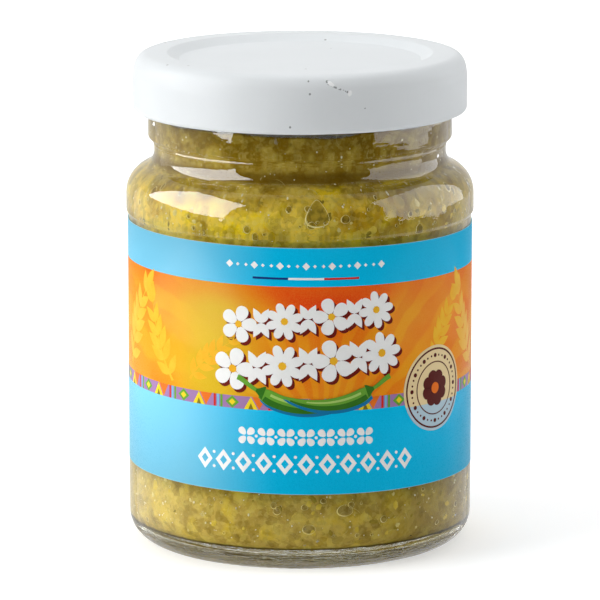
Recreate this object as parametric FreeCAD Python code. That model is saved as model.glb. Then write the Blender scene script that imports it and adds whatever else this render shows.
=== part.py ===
import FreeCAD, Part
import os
from math import cos, hypot, pi, radians, sin, tan

# A filled glass jar of chili paste, closed with a four-lug twist-off cap, in millimetres.
# The axis is +Z, the origin is the middle of the base, and the label's middle faces -Y.
# Every outline is a list of (radius, height, rounding) corners in one half-plane.

# Jar body
BODY_RADIUS = 29.2
JAR_HEIGHT = 82.2
WALL = 2.4
FLOOR = 4.0
HEEL_HEIGHT = 9.1
HEEL_DRAW = 0.31
HEEL_BLEND = 4.0
HEEL_ROUNDING = 4.8
FLOOR_ROUNDING = 4.2
BEARING_WIDTH = 2.8
PUNT_RISE = 0.9
PUNT_SLOPE = 5.0

# Finish that the cap closes on
FINISH_RADIUS = 24.95
FINISH_WALL = 2.25
RIM_ROUNDING = 0.9
LUG_COUNT = 4

# Transfer bead under the cap, and the neck and shoulder below it
BEAD_GAP = 0.15
BEAD_REACH = 0.55
BEAD_HEIGHT = 4.6
BEAD_LOWER_ROUNDING = 1.6
BEAD_TAPER = 1.8
BEAD_ROUNDING = 3.0
BEAD_FOOT_ROUNDING = 0.3
NECK_INSET = 0.47
NECK_HEIGHT = 3.75
NECK_ROUNDING = 2.6
SHOULDER_ANGLE = 22.8
SHOULDER_ROUNDING = 5.05
INNER_SHOULDER_ROUNDING = 3.4
INNER_NECK_ROUNDING = 2.9

# Glass ridges: each runs level over its lug and then climbs to its open end
RIDGE_REACH = 1.2
RIDGE_ROOT = 2.6
RIDGE_CREST = 0.8
RIDGE_DRAFT_ANGLE = 10.0
RIDGE_SUNK = 0.8
RIDGE_LEVEL_ANGLE = 24.0
RIDGE_CLIMB_ANGLE = 50.0
RIDGE_CLIMB = 3.2
RIDGE_FADE_ANGLE = 7.0
RIDGE_END_SIZE = 0.3
RIDGE_STEP_ANGLE = 4.0

# Cap, pressed from lacquered tinplate
TIN = 0.2
CAP_SLACK = 0.15
CURL_ROUNDING = 0.85
CAP_SHOULDER_DROP = 3.5
CAP_SHOULDER_REACH = 2.0
CAP_SHOULDER_STEPS = 3
SEAL_GAP = 0.3
CAP_SKIRT_DROP = 9.15
PANEL_GAP = 0.5
PANEL_STEP_WIDTH = 1.8
PANEL_DEPTH = 0.85
PANEL_ROUNDING = 1.2

# Lugs rolled in from the curl
LUG_WIDTH = 8.6
LUG_TIP_WIDTH = 6.2
LUG_CORNER = 0.8
LUG_HEIGHT = 1.5
LUG_GAP = 0.4
LUG_SEAT_GAP = 0.06
LUG_ROUNDING = 0.5

# Label panel and label
PANEL_RECESS = 0.4
RECESS_RAMP = 0.6
HEEL_BAND = 3.5
SHOULDER_BAND = 3.5
LABEL_MARGIN = 1.0
LABEL_THICKNESS = 0.1
GLUE_GAP = 0.05
LABEL_SEAM = 9.0

# Paste
PASTE_GAP = 0.1
HEADSPACE = 9.9
RIPPLE_HEIGHT = 0.7
RIPPLE_LENGTH = 12.0
RIPPLE_GRID = 15

AXIS = FreeCAD.Vector(0, 0, 1)
ORIGIN = FreeCAD.Vector(0, 0, 0)


# Outlines

def at(radius, height, angle=0.0):
    """The point at a radius and height, turned about the axis by an angle in degrees."""
    return FreeCAD.Vector(radius * cos(radians(angle)), radius * sin(radians(angle)), height)


def turn_between(before, corner, after):
    """The angle in radians by which a path turns at a corner, positive to the left."""
    first = at(corner[0] - before[0], corner[1] - before[1])
    second = at(after[0] - corner[0], after[1] - corner[1])
    left = first.x * second.z - first.z * second.x
    angle = first.getAngle(second)
    return angle if left > 0 else -angle


def tangent_lengths(corners):
    """How far each rounding reaches along its two sides, shortened where two would meet."""
    reach = [0.0] * len(corners)
    for i in range(1, len(corners) - 1):
        turn = abs(turn_between(corners[i - 1], corners[i], corners[i + 1]))
        reach[i] = corners[i][2] * tan(turn / 2)
    share = [1.0] * len(corners)
    for i in range(len(corners) - 1):
        side = hypot(corners[i + 1][0] - corners[i][0], corners[i + 1][1] - corners[i][1])
        wanted = reach[i] + reach[i + 1]
        if wanted > side:
            share[i] = min(share[i], side / wanted)
            share[i + 1] = min(share[i + 1], side / wanted)
    return [length * part for length, part in zip(reach, share)]


def rounded_path(corners):
    """Edges along an open path of corners, each inner corner rounded by a tangent arc."""
    reach = tangent_lengths(corners)
    edges = []
    here = at(*corners[0][:2])
    for i in range(1, len(corners)):
        corner = at(*corners[i][:2])
        came_from = (at(*corners[i - 1][:2]) - corner).normalize()
        start = corner + came_from * reach[i]
        if (start - here).Length > 1e-6:
            edges.append(Part.makeLine(here, start))
        here = start
        if reach[i] > 0:
            goes_to = (at(*corners[i + 1][:2]) - corner).normalize()
            end = corner + goes_to * reach[i]
            inward = (came_from + goes_to).normalize()
            half = came_from.getAngle(goes_to) / 2
            middle = corner + inward * (reach[i] / cos(half) - reach[i] * tan(half))
            edges.append(Part.Arc(start, middle, end).toShape())
            here = end
    return edges


def beside(corners, distance):
    """The same path moved to its left by a distance, with its roundings kept concentric."""
    moved = []
    for i, (radius, height, rounding) in enumerate(corners):
        before = corners[i - 1] if i > 0 else None
        after = corners[i + 1] if i + 1 < len(corners) else None
        lefts = []
        for start, end in ((before, corners[i]), (corners[i], after)):
            if start and end:
                along = at(end[0] - start[0], end[1] - start[1]).normalize()
                lefts.append(FreeCAD.Vector(-along.z, 0, along.x))
        normal = sum(lefts[1:], lefts[0]).normalize()
        miter = distance / normal.dot(lefts[0])
        if before and after:
            to_right = turn_between(before, corners[i], after) < 0
            rounding = max(rounding + (distance if to_right else -distance), 0.0)
        moved.append((radius + normal.x * miter, height + normal.z * miter, rounding))
    return moved


def spun(edges, angle=360.0):
    """The solid that a closed set of edges sweeps about the axis."""
    wire = Part.Wire(Part.__sortEdges__(edges))
    return Part.Face(wire).revolve(ORIGIN, AXIS, angle)


def closed_on_axis(corners):
    """Edges of a path whose two ends lie on the axis, with the axis between them."""
    last, first = at(*corners[-1][:2]), at(*corners[0][:2])
    return rounded_path(corners) + [Part.makeLine(last, first)]


def repeated(shape, count):
    """Copies of a shape at equal turns about the axis."""
    copies = []
    for i in range(count):
        copy = shape.copy()
        copy.rotate(ORIGIN, AXIS, i * 360.0 / count)
        copies.append(copy)
    return copies


# Places that several pieces share

bore_radius = FINISH_RADIUS - FINISH_WALL
bead_radius = FINISH_RADIUS + BEAD_REACH
neck_radius = FINISH_RADIUS - NECK_INSET
cap_bottom = JAR_HEIGHT - CAP_SKIRT_DROP
bead_top = cap_bottom - BEAD_GAP
bead_bottom = bead_top - BEAD_HEIGHT
neck_start = bead_bottom - NECK_HEIGHT
shoulder_slope = tan(radians(SHOULDER_ANGLE))
shoulder_height = neck_start - (BODY_RADIUS - neck_radius) * shoulder_slope
shoulder_tangent = SHOULDER_ROUNDING * tan(radians(90 - SHOULDER_ANGLE) / 2)
recess_bottom = HEEL_HEIGHT + HEEL_BAND
recess_top = shoulder_height - shoulder_tangent - SHOULDER_BAND
recess_radius = BODY_RADIUS - PANEL_RECESS

ridge_radius = FINISH_RADIUS + RIDGE_REACH
cap_radius = ridge_radius + CAP_SLACK + 2 * CURL_ROUNDING
cap_top = JAR_HEIGHT + SEAL_GAP + TIN
panel_radius = bore_radius - PANEL_GAP - PANEL_STEP_WIDTH
lug_top = cap_bottom + LUG_HEIGHT
ridge_draft = tan(radians(RIDGE_DRAFT_ANGLE))
ridge_underside = lug_top + LUG_SEAT_GAP - LUG_GAP * ridge_draft


# Glass jar

def cavity_corners():
    """The inside of the glass, from the floor's middle up the wall and in to the rim."""
    wall_radius = BODY_RADIUS - WALL
    inner_drop = WALL / cos(radians(SHOULDER_ANGLE))
    shoulder = shoulder_height + WALL * shoulder_slope - inner_drop
    neck = shoulder + (wall_radius - bore_radius) * shoulder_slope
    return [
        (0, FLOOR, 0),
        (wall_radius, FLOOR, FLOOR_ROUNDING),
        (wall_radius, shoulder, INNER_SHOULDER_ROUNDING),
        (bore_radius, neck, INNER_NECK_ROUNDING),
        (bore_radius, JAR_HEIGHT, RIM_ROUNDING),
    ]


def outer_corners():
    """The outside of the glass, from the rim down to the middle of the raised base."""
    heel_radius = BODY_RADIUS - HEEL_DRAW
    bearing_radius = heel_radius - HEEL_ROUNDING - BEARING_WIDTH
    return [
        (FINISH_RADIUS, JAR_HEIGHT, RIM_ROUNDING),
        (FINISH_RADIUS, bead_top, BEAD_FOOT_ROUNDING),
        (bead_radius, bead_top - BEAD_TAPER, BEAD_ROUNDING),
        (bead_radius, bead_bottom, BEAD_LOWER_ROUNDING),
        (neck_radius, bead_bottom, BEAD_FOOT_ROUNDING),
        (neck_radius, neck_start, NECK_ROUNDING),
        (BODY_RADIUS, shoulder_height, SHOULDER_ROUNDING),
        (BODY_RADIUS, recess_top + RECESS_RAMP, RECESS_RAMP),
        (recess_radius, recess_top, RECESS_RAMP),
        (recess_radius, recess_bottom, RECESS_RAMP),
        (BODY_RADIUS, recess_bottom - RECESS_RAMP, RECESS_RAMP),
        (BODY_RADIUS, HEEL_HEIGHT, HEEL_BLEND),
        (heel_radius, 0, HEEL_ROUNDING),
        (bearing_radius, 0, PUNT_RISE / 2),
        (bearing_radius - PUNT_SLOPE, PUNT_RISE, PUNT_SLOPE),
        (0, PUNT_RISE, 0),
    ]


def ridge_wire(angle, height, size):
    """The closed section of a glass ridge at one angle, at a share of its full size."""
    reach = RIDGE_REACH * size
    section = [
        (-RIDGE_SUNK, -RIDGE_SUNK * ridge_draft),
        (reach, reach * ridge_draft),
        (reach, reach * ridge_draft + RIDGE_CREST * size),
        (-RIDGE_SUNK, RIDGE_ROOT * size),
    ]
    points = [at(FINISH_RADIUS + out, height + up, angle) for out, up in section]
    return Part.makePolygon(points + points[:1])


def glass_ridge():
    """One ridge of the finish: level over its lug, then climbing, and fading out at both ends."""
    length = RIDGE_LEVEL_ANGLE + RIDGE_CLIMB_ANGLE
    steps = round(length / RIDGE_STEP_ANGLE)
    wires = []
    for i in range(steps + 1):
        angle = length * i / steps
        climbed = max(angle - RIDGE_LEVEL_ANGLE, 0) / RIDGE_CLIMB_ANGLE
        to_end = min(angle, length - angle) / RIDGE_FADE_ANGLE
        size = RIDGE_END_SIZE + (1 - RIDGE_END_SIZE) * sin(pi / 2 * min(to_end, 1.0))
        wires.append(ridge_wire(angle, ridge_underside + RIDGE_CLIMB * climbed ** 1.3, size))
    return Part.makeLoft(wires, True, False)


def glass_jar():
    """The glass body with its cavity, its transfer bead and the ridges of its finish."""
    jar = spun(closed_on_axis(cavity_corners() + outer_corners()))
    return jar.fuse(repeated(glass_ridge(), LUG_COUNT)).removeSplitter()


# Cap

def cap_corners():
    """The outside of the cap, from the panel's middle over the shoulder to the curl's end."""
    curl_radius = cap_radius - 2 * CURL_ROUNDING
    curl_top = cap_bottom + 2 * CURL_ROUNDING
    corners = [
        (0, cap_top - PANEL_DEPTH, 0),
        (panel_radius, cap_top - PANEL_DEPTH, PANEL_ROUNDING),
        (panel_radius + PANEL_STEP_WIDTH, cap_top, PANEL_ROUNDING),
    ]
    for i in range(CAP_SHOULDER_STEPS + 1):
        angle = radians(90.0 * i / CAP_SHOULDER_STEPS)
        radius = cap_radius - CAP_SHOULDER_REACH * (1 - sin(angle))
        height = cap_top - CAP_SHOULDER_DROP * (1 - cos(angle))
        corners.append((radius, height, CAP_SHOULDER_DROP))
    return corners + [
        (cap_radius, cap_bottom, CURL_ROUNDING),
        (curl_radius, cap_bottom, CURL_ROUNDING),
        (curl_radius, curl_top, CURL_ROUNDING),
        (cap_radius - 2 * TIN, curl_top, 0),
    ]


def cap_lug():
    """One lug: a stretch of the curl pressed flat and rolled in under its glass ridge."""
    tip = FINISH_RADIUS + LUG_GAP
    corners = [(cap_radius, -LUG_WIDTH / 2), (tip, -LUG_TIP_WIDTH / 2),
               (tip, LUG_TIP_WIDTH / 2), (cap_radius, LUG_WIDTH / 2)]
    points = [FreeCAD.Vector(x, y, cap_bottom) for x, y in corners]
    tongue = Part.Face(Part.makePolygon(points + points[:1])).extrude(AXIS * LUG_HEIGHT)
    upright = [edge for edge in tongue.Edges
               if edge.BoundBox.ZLength > LUG_HEIGHT / 2 and edge.CenterOfMass.x < cap_radius - TIN]
    tongue = tongue.makeFillet(LUG_CORNER, upright)
    level = [edge for edge in tongue.Edges
             if edge.BoundBox.ZLength < LUG_HEIGHT / 2 and edge.CenterOfMass.x < cap_radius - TIN]
    tongue = tongue.makeFillet(LUG_ROUNDING, level)
    within = Part.makeCylinder(cap_radius - TIN / 2, LUG_HEIGHT, FreeCAD.Vector(0, 0, cap_bottom))
    lug = tongue.common(within)
    lug.rotate(ORIGIN, AXIS, RIDGE_LEVEL_ANGLE / 2)
    return lug


def cap():
    """The twist-off cap: recessed panel, shoulder, plain skirt, inward curl and its lugs."""
    outside = cap_corners()
    inside = beside(outside, -TIN)
    edges = rounded_path(outside) + rounded_path(inside)
    for end in (0, -1):
        edges.append(Part.makeLine(at(*outside[end][:2]), at(*inside[end][:2])))
    return spun(edges).fuse(repeated(cap_lug(), LUG_COUNT)).removeSplitter()


# Paste

def air_over_paste():
    """A block whose underside is the uneven top of the paste."""
    level = JAR_HEIGHT - HEADSPACE
    rows = []
    for i in range(RIPPLE_GRID):
        row = []
        for j in range(RIPPLE_GRID):
            x = BODY_RADIUS * (2.0 * i / (RIPPLE_GRID - 1) - 1)
            y = BODY_RADIUS * (2.0 * j / (RIPPLE_GRID - 1) - 1)
            long_wave = cos(2 * pi * x / (2.2 * RIPPLE_LENGTH) + y / RIPPLE_LENGTH)
            short_wave = cos(2 * pi * y / RIPPLE_LENGTH + 1.3) * cos(2 * pi * x / RIPPLE_LENGTH)
            height = level + RIPPLE_HEIGHT * (0.6 * long_wave + 0.4 * short_wave)
            row.append(FreeCAD.Vector(x, y, height))
        rows.append(row)
    surface = Part.BSplineSurface()
    surface.interpolate(rows)
    return surface.toShape().extrude(AXIS * JAR_HEIGHT)


def paste():
    """The filling: the cavity less a small clearance, up to its uneven top."""
    corners = beside(cavity_corners(), PASTE_GAP)
    top = corners[-1][1]
    filling = spun(closed_on_axis(corners[:-1] + [(corners[-1][0], top, 0), (0, top, 0)]))
    return filling.cut(air_over_paste())


# Label

def label():
    """The paper band in the recess of the body, open by a narrow seam at the back."""
    inner = recess_radius + GLUE_GAP
    outer = inner + LABEL_THICKNESS
    low, high = recess_bottom + LABEL_MARGIN, recess_top - LABEL_MARGIN
    seam = 360.0 * LABEL_SEAM / (2 * pi * outer)
    corners = [(inner, low, 0), (outer, low, 0), (outer, high, 0), (inner, high, 0), (inner, low, 0)]
    band = spun(rounded_path(corners), 360.0 - seam)
    band.rotate(ORIGIN, AXIS, 90.0 + seam / 2)
    return band


os.makedirs("parts", exist_ok=True)
nodes = {"glass_jar": glass_jar(), "cap": cap(), "paste": paste(), "label": label()}
for name, shape in nodes.items():
    solid = shape.Solids[0]
    solid.exportStep("parts/" + name + ".step")
    box = solid.BoundBox
    print(name, len(shape.Solids), solid.isValid(), round(solid.Volume, 1),
          round(box.ZMin, 3), round(box.ZMax, 3), round(box.XLength, 3))
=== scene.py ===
import random
from math import cos, hypot, pi, radians, sin, tan

import bmesh
import bpy
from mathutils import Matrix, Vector, noise
from mathutils.geometry import tessellate_polygon

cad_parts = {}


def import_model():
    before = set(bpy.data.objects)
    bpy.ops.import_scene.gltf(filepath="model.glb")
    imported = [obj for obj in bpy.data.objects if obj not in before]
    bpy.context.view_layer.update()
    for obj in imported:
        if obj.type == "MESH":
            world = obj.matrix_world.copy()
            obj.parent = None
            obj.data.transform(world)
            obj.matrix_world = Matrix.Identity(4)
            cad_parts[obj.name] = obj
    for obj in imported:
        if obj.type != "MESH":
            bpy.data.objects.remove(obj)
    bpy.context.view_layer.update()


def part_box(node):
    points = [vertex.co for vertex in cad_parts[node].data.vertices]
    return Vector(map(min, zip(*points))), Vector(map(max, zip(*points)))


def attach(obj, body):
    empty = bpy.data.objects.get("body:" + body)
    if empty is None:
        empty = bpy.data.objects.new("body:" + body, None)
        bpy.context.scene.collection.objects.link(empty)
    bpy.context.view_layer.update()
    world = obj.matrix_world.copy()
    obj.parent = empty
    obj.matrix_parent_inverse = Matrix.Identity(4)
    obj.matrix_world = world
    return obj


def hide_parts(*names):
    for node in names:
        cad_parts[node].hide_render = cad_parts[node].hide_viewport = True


# A filled jar of chili paste. Lengths are in metres, written as so many MM. Angles round the jar
# are measured from its front, which faces -Y, and grow towards +X.
MM = 0.001

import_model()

# Places that come from the frame
glass_low, glass_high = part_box("glass_jar")
cap_low, cap_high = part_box("cap")
paste_low, paste_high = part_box("paste")
label_low, label_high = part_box("label")

BODY_RADIUS = glass_high.x
JAR_TOP = glass_high.z
CAP_RADIUS = cap_high.x
CAP_TOP = cap_high.z
CAP_BOTTOM = cap_low.z
CAVITY_RADIUS = paste_high.x + 0.1 * MM
CAVITY_FLOOR = paste_low.z - 0.1 * MM
LABEL_RADIUS = label_high.x
LABEL_BOTTOM = label_low.z
LABEL_TOP = label_high.z

# Glass
WALL = BODY_RADIUS - CAVITY_RADIUS
FINISH_RADIUS = CAP_RADIUS - 3.05 * MM
BORE_RADIUS = FINISH_RADIUS - 2.25 * MM
BEAD_RADIUS = FINISH_RADIUS + 0.55 * MM
NECK_RADIUS = FINISH_RADIUS - 0.47 * MM
BEAD_TOP = CAP_BOTTOM - 0.15 * MM
BEAD_BOTTOM = BEAD_TOP - 4.6 * MM
NECK_START = BEAD_BOTTOM - 3.75 * MM
SHOULDER_ANGLE = radians(22.8)
SHOULDER_SLOPE = tan(SHOULDER_ANGLE)
SHOULDER_HEIGHT = NECK_START - (BODY_RADIUS - NECK_RADIUS) * SHOULDER_SLOPE
RIM_ROUND = 0.9 * MM
INNER_ROUND = 3.4 * MM
HEEL_HEIGHT = 9.1 * MM
HEEL_RADIUS = BODY_RADIUS - 0.31 * MM
BEARING_RADIUS = HEEL_RADIUS - 7.6 * MM
BASE_RISE = 0.9 * MM
BASE_SLOPE = 5.0 * MM
FLOOR_SINK = 0.35 * MM
RECESS_RADIUS = LABEL_RADIUS - 0.15 * MM
LOWER_RADIUS = LABEL_RADIUS - 0.03 * MM
RECESS_MARGIN = 1.0 * MM
RECESS_RAMP = 0.6 * MM
GLASS_SEGMENTS = 384
STIPPLES = 96
STIPPLE_HEIGHT = 0.22 * MM
RIDGES = 4
RIDGE_REACH = 1.2 * MM
RIDGE_CLIMB = 3.2 * MM

# Paste
PASTE_IN_WALL = 0.06 * MM
PASTE_SEGMENTS = 544
PASTE_STEP = 0.3 * MM
HIDDEN_STEP = 3.0 * MM
PASTE_TOP_RINGS = 34
PASTE_LEVEL = paste_high.z - 0.95 * MM
HOLLOW_DEPTH = 0.16 * MM
SMALL_BUBBLES = 150

# Cap
TIN = 0.2 * MM
CURL = 0.85 * MM
CAP_SEGMENTS = 360
CAP_EDGE_WIDTH = 2.0 * MM
CAP_EDGE_DROP = 3.5 * MM
PANEL_RADIUS = BORE_RADIUS - 2.5 * MM
PANEL_SINK = 1.1 * MM
PANEL_SLOPE = 2.0 * MM
PANEL_ROUND = 0.8 * MM
DENT = 0.16 * MM
# Chipped flakes and the scratch between them: millimetres to the right of the front and below the
# top, half width, half height and slant.
FLAKES = ((5.1, 1.35, 0.6, 0.42, 0.5), (8.2, 2.9, 0.4, 0.5, -0.3))
SCRATCH = (6.3, 2.1, 2.0, 0.2, 0.42)
# Specks: millimetres to the right of the front and below the top, and their size.
SPECKS = ((4.5, 1.0, 0.24), (1.6, 2.9, 0.2), (-1.6, 8.3, 0.2), (1.4, 0.9, 0.16), (7.8, 2.7, 0.2),
          (10.8, 5.5, 0.12))

# Label and print. The print's own places and sizes are in millimetres, along the label from the
# print's middle and up from the label's lower edge.
LABEL_SEAM = 9.0 * MM
LABEL_THICK = 0.1 * MM
LABEL_COLUMNS = 480
LABEL_SKEW = 0.012
PRINT_TURN = radians(2.0)
LAYER = 0.012 * MM
PRINT_SINK = 0.03 * MM
BAND_LOW = 16.1
BAND_HIGH = 34.7
STRIP_LOW = 14.0
MEDALLION = (24.4, 16.0)
# The inks' tones, as display values. An ink with two tones wavers between them.
INKS = {
    "white": ((246, 246, 244), (252, 252, 250)),
    "dark_red": ((112, 26, 18),),
    "yellow": ((244, 214, 34),),
    "soft_yellow": ((246, 178, 34), (246, 194, 52)),
    "orange": ((238, 116, 32),),
    "red": ((212, 44, 30),),
    "lilac": ((164, 124, 176),),
    "green": ((104, 168, 52),),
    "dark_green": ((52, 116, 30),),
    "light_green": ((170, 206, 104),),
    "light_blue": ((120, 184, 224),),
    "deep_blue": ((20, 118, 170),),
    "navy": ((20, 48, 120),),
    "olive": ((132, 118, 30),),
    "cream": ((240, 216, 164),),
    "brown": ((88, 30, 26),),
    "pale_blue": ((186, 210, 222),),
}

# Setting
FLOOR_LIFT = 0.4
WHITE = (1.0, 1.0, 1.0, 1.0)


# Mesh helpers

def around(radius, angle, height):
    """The point at a radius and height, at an angle from the front."""
    return (radius * sin(angle), -radius * cos(angle), height)


def roundings(corners, places):
    """For each corner of a path its turn, how far its arc reaches, and the share of that which has room."""
    turns = [0.0] * len(corners)
    reach = [0.0] * len(corners)
    share = [1.0] * len(corners)
    for i in range(1, len(corners) - 1):
        turns[i] = pi - (places[i - 1] - places[i]).angle(places[i + 1] - places[i])
        reach[i] = corners[i][2] * tan(turns[i] / 2)
    for i in range(len(corners) - 1):
        span = (places[i + 1] - places[i]).length
        if reach[i] + reach[i + 1] > span:
            fit = span / (reach[i] + reach[i + 1])
            share[i] = min(share[i], fit)
            share[i + 1] = min(share[i + 1], fit)
    return turns, reach, share


def outline(corners, turn=radians(7.5), longest=1.6 * MM):
    """Points along a path of (radius, height, rounding) corners, with its arcs stepped by an angle."""
    places = [Vector(corner[:2]) for corner in corners]
    turns, reach, share = roundings(corners, places)
    points = [places[0]]
    for i in range(1, len(corners)):
        corner = places[i]
        back = (places[i - 1] - corner).normalized()
        start = corner + back * reach[i] * share[i]
        origin = points[-1]
        run = start - origin
        pieces = max(int(run.length / longest), 1)
        if run.length > 1e-6:
            points += [origin + run * (k / pieces) for k in range(1, pieces + 1)]
        if reach[i] > 0:
            ahead = (places[i + 1] - corner).normalized()
            radius = reach[i] * share[i] / tan(turns[i] / 2)
            centre = corner + (back + ahead).normalized() * (radius / cos(turns[i] / 2))
            arm = start - centre
            side = 1 if back.x * ahead.y - back.y * ahead.x < 0 else -1
            steps = max(int(turns[i] / turn) + 1, 2)
            for k in range(1, steps + 1):
                angle = side * turns[i] * k / steps
                points.append(centre + Vector((arm.x * cos(angle) - arm.y * sin(angle),
                                               arm.x * sin(angle) + arm.y * cos(angle))))
    return [(point.x, point.y) for point in points]


def put(name, data):
    """An object of the scene that holds a mesh, a lamp or a camera."""
    thing = bpy.data.objects.new(name, data)
    bpy.context.scene.collection.objects.link(thing)
    return thing


def new_object(name, vertices, faces, *materials, smooth=True):
    """A closed mesh object from vertices and faces, with its faces turned to point out."""
    mesh = bpy.data.meshes.new(name)
    mesh.from_pydata(vertices, [], faces)
    if smooth:
        mesh.shade_smooth()
    mesh.validate()
    grid = bmesh.new()
    grid.from_mesh(mesh)
    bmesh.ops.recalc_face_normals(grid, faces=grid.faces)
    grid.to_mesh(mesh)
    grid.free()
    for material in materials:
        mesh.materials.append(material)
    return put(name, mesh)


def band_faces(low, high, count):
    """Quads between two closed rows of vertices. low and high are the rows' first vertices."""
    return [(low + k, low + (k + 1) % count, high + (k + 1) % count, high + k) for k in range(count)]


def fan_faces(row, tip, count):
    """Triangles from a closed row of vertices to one vertex."""
    return [(row + k, row + (k + 1) % count, tip) for k in range(count)]


def spins(count):
    """Angles in even steps round a whole turn."""
    return [2 * pi * k / count for k in range(count)]


def revolved(name, points, segments, form, *materials):
    """The surface that a path of (radius, height) points sweeps about the axis.

    form maps an angle, a radius and a height to the radius and height that are used.
    """
    vertices, rings = [], []
    for radius, height in points:
        start = len(vertices)
        if radius < 1e-7:
            vertices.append((0, 0, height))
            rings.append([start] * segments)
            continue
        for angle in spins(segments):
            out, up = form(angle, radius, height)
            vertices.append(around(out, angle, up))
        rings.append(range(start, start + segments))
    faces = []
    for low, high in zip(rings, rings[1:]):
        for k in range(segments):
            after = (k + 1) % segments
            corners = list(dict.fromkeys((low[k], low[after], high[after], high[k])))
            if len(corners) > 2:
                faces.append(corners)
    return new_object(name, vertices, faces, *materials)


def smooth_step(low, high, value):
    """0 below low and 1 above high, with a smooth change between."""
    share = min(max((value - low) / (high - low), 0.0), 1.0)
    return share * share * (3 - 2 * share)


def wobble(x, y, z, size):
    """Smooth noise of about -1 to 1 with features of a size."""
    return noise.noise(Vector((x / size, y / size, z / size)))


# Material helpers

def tone(red, green, blue):
    """A linear colour from display values of 0 to 255."""
    def linear(value):
        value /= 255.0
        return value / 12.92 if value <= 0.04045 else ((value + 0.055) / 1.055) ** 2.4
    return (linear(red), linear(green), linear(blue), 1.0)


class Shader:
    """Builds the nodes of one material or world. An input is a number, a colour or a node's socket."""

    def __init__(self, name, kind=bpy.data.materials):
        self.owner = kind.new(name)
        self.owner.use_nodes = True
        self.tree = self.owner.node_tree
        self.tree.nodes.clear()

    def node(self, kind, inputs=None, output=0, **settings):
        """Adds a node and gives back one of its outputs."""
        made = self.tree.nodes.new("ShaderNode" + kind)
        for key, value in settings.items():
            setattr(made, key, value)
        for key, value in (inputs or {}).items():
            if isinstance(value, bpy.types.NodeSocket):
                self.tree.links.new(value, made.inputs[key])
            else:
                made.inputs[key].default_value = value
        return made.outputs[output]

    def finish(self, surface, kind="OutputMaterial"):
        """Links the surface to the output and gives back the material or world."""
        output = self.tree.nodes.new("ShaderNode" + kind)
        self.tree.links.new(surface, output.inputs["Surface"])
        return self.owner

    # Numbers

    def math(self, operation, first, second=0.0):
        return self.node("Math", {0: first, 1: second}, operation=operation)

    def plus(self, first, second):
        return self.math("ADD", first, second)

    def minus(self, first, second):
        return self.math("SUBTRACT", first, second)

    def larger(self, first, second):
        return self.math("MAXIMUM", first, second)

    def times(self, *values):
        """The product of all the values."""
        result = values[0]
        for value in values[1:]:
            result = self.math("MULTIPLY", result, value)
        return result

    def squared(self, value, size):
        """The square of a value counted in units of a size."""
        return self.math("POWER", self.math("DIVIDE", value, size), 2.0)

    def bell(self, value, width):
        """1 where the value is 0, and falling to nothing on both sides."""
        return self.math("POWER", 2.718, self.times(self.squared(value, width), -1.0))

    def fade(self, value, low, high, first=0.0, last=1.0):
        """first below low and last above high, with a smooth change between."""
        return self.node("MapRange", {"Value": value, "From Min": low, "From Max": high,
                                      "To Min": first, "To Max": last},
                         interpolation_type="SMOOTHSTEP")

    def ray(self, kind):
        """1 for rays of a kind, such as Camera."""
        return self.node("LightPath").node.outputs["Is " + kind + " Ray"]

    # Places

    def place(self, scale=1.0 / MM):
        """The point on the object in millimetres, or in another unit."""
        return self.scaled(self.node("TexCoord", output=3), scale)

    def axes(self, place):
        """The three coordinates of a place."""
        return self.node("SeparateXYZ", {0: place}).node.outputs

    def scaled(self, place, factor):
        return self.node("VectorMath", {0: place, 3: factor}, operation="SCALE")

    def shifted(self, place, by):
        return self.node("VectorMath", {0: place, 1: by}, operation="ADD")

    def stretched(self, place, x, y, z):
        return self.node("VectorMath", {0: place, 1: (x, y, z)}, operation="MULTIPLY")

    def warped(self, place, scale, amount):
        """The place moved about by noise."""
        push = self.noise(place, scale, output=1)
        return self.shifted(place, self.scaled(self.shifted(push, (-0.5, -0.5, -0.5)), amount))

    def length(self, place):
        """The distance of a place from the origin."""
        return self.node("VectorMath", {0: place}, 1, operation="LENGTH")

    def from_axis(self, place):
        """The distance of a place from the jar's axis."""
        return self.length(self.stretched(place, 1.0, 1.0, 0.0))

    def front_angle(self, x, y):
        """The angle of a place from the front."""
        return self.math("ARCTAN2", x, self.times(y, -1.0))

    # Patterns, colours and surfaces

    def noise(self, place, scale, detail=2.0, roughness=0.5, output=0):
        return self.node("TexNoise", {"Vector": place, "Scale": scale, "Detail": detail,
                                      "Roughness": roughness}, output)

    def cells(self, place, scale, output=0):
        return self.node("TexVoronoi", {"Vector": place, "Scale": scale}, output)

    def channels(self, colour):
        return self.node("SeparateColor", {0: colour}).node.outputs

    def mix(self, share, first, second):
        return self.node("Mix", {0: share, 6: first, 7: second}, 2, data_type="RGBA")

    def tinted(self, colour, other, *shares):
        """The colour with another tone mixed in, by the product of some shares."""
        return self.mix(self.times(*shares), colour, tone(*other))

    def bump(self, height, strength, distance):
        return self.node("Bump", {"Height": height, "Strength": strength, "Distance": distance})

    def surface(self, **inputs):
        """A Principled surface. An underscore in a name stands for a space."""
        named = {key.replace("_", " "): value for key, value in inputs.items()}
        return self.node("BsdfPrincipled", named)


# Materials

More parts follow.
